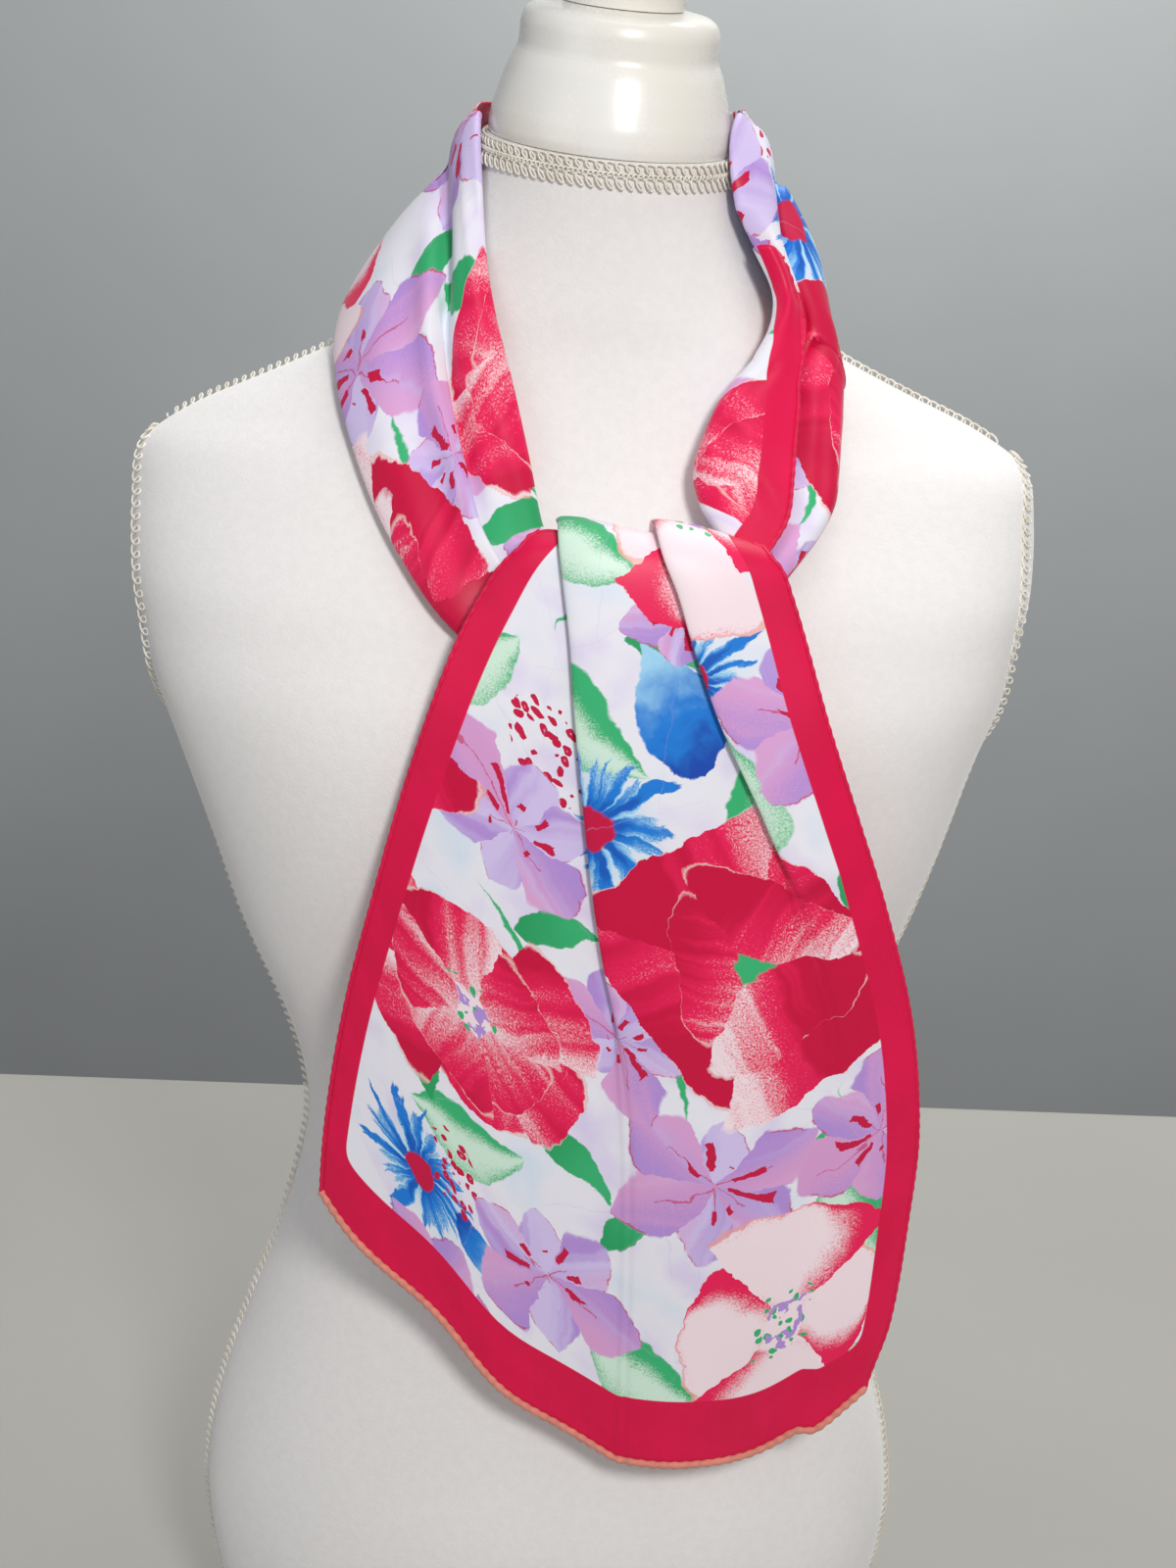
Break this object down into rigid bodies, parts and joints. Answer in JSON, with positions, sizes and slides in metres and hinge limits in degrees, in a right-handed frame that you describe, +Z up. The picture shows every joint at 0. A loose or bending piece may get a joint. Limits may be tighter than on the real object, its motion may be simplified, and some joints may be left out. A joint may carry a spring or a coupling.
{
  "type": "oblong scarf on a dress form",
  "caption": "Oblong scarf with printed flowers and a plain border, looped round the neck of a limbless dress form and tied over itself, one end spread flat in front.",
  "frame": {"origin": "middle of the dress form's flat base, on the surface it stands on", "axes": "+Z up through the form's neck, -Y out of its chest towards the viewer, +X towards its left side, where the wide corner of the scarf's front panel hangs"},
  "size_m": [0.3877, 0.238, 0.8504],
  "materials": {
    "jersey": "off-white napped jersey",
    "braid": "ivory looped cord trim",
    "cap_plastic": "glossy warm white",
    "scarf_print": "satin-faced georgette, white with crimson, lilac, blue and green flowers and a crimson border"
  },
  "bodies": {
    "root": {"form_torso": "jersey", "neck_braid": "braid", "shoulder_braid_left": "braid", "shoulder_braid_right": "braid", "armhole_braid_left": "braid", "armhole_braid_right": "braid", "side_braid_left": "braid", "side_braid_right": "braid", "neck_cap": "cap_plastic", "neck_finial": "cap_plastic", "scarf_left_strand": "scarf_print", "scarf_back_neck": "scarf_print", "scarf_right_upper": "scarf_print", "scarf_right_lower": "scarf_print", "scarf_knot_core": "scarf_print", "scarf_front_panel": "scarf_print", "scarf_under_tail": "scarf_print"}
  },
  "joints": []
}
